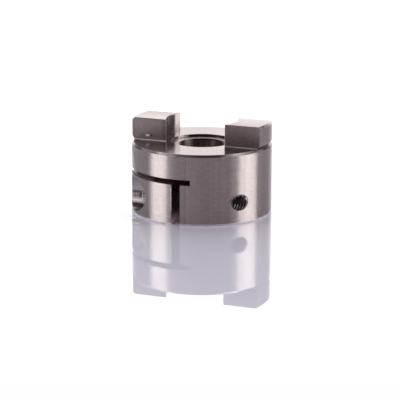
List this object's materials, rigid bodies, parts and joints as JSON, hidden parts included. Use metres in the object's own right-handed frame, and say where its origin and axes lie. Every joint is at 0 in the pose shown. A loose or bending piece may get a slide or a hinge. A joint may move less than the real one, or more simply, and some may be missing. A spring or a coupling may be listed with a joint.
{
  "type": "clamp shaft coupling",
  "caption": "Clamp hub of a shaft coupling: a slit steel cylinder closed on a shaft by a cross screw, with two drive lugs standing on its end face.",
  "frame": {"origin": "on the bore axis, in the flat base face that the hub stands on", "axes": "+Z along the bore from the base face towards the lugs, X along the two lugs and the clamp screw with its head on the -X side, -Y where the clamp slit opens"},
  "size_m": [0.0254, 0.0254, 0.0167],
  "materials": {
    "hub_steel": "turned and milled bright steel",
    "screw_steel": "plain bright steel screw"
  },
  "bodies": {
    "root": {"hub": "hub_steel", "clamp_screw": "screw_steel"}
  },
  "joints": []
}
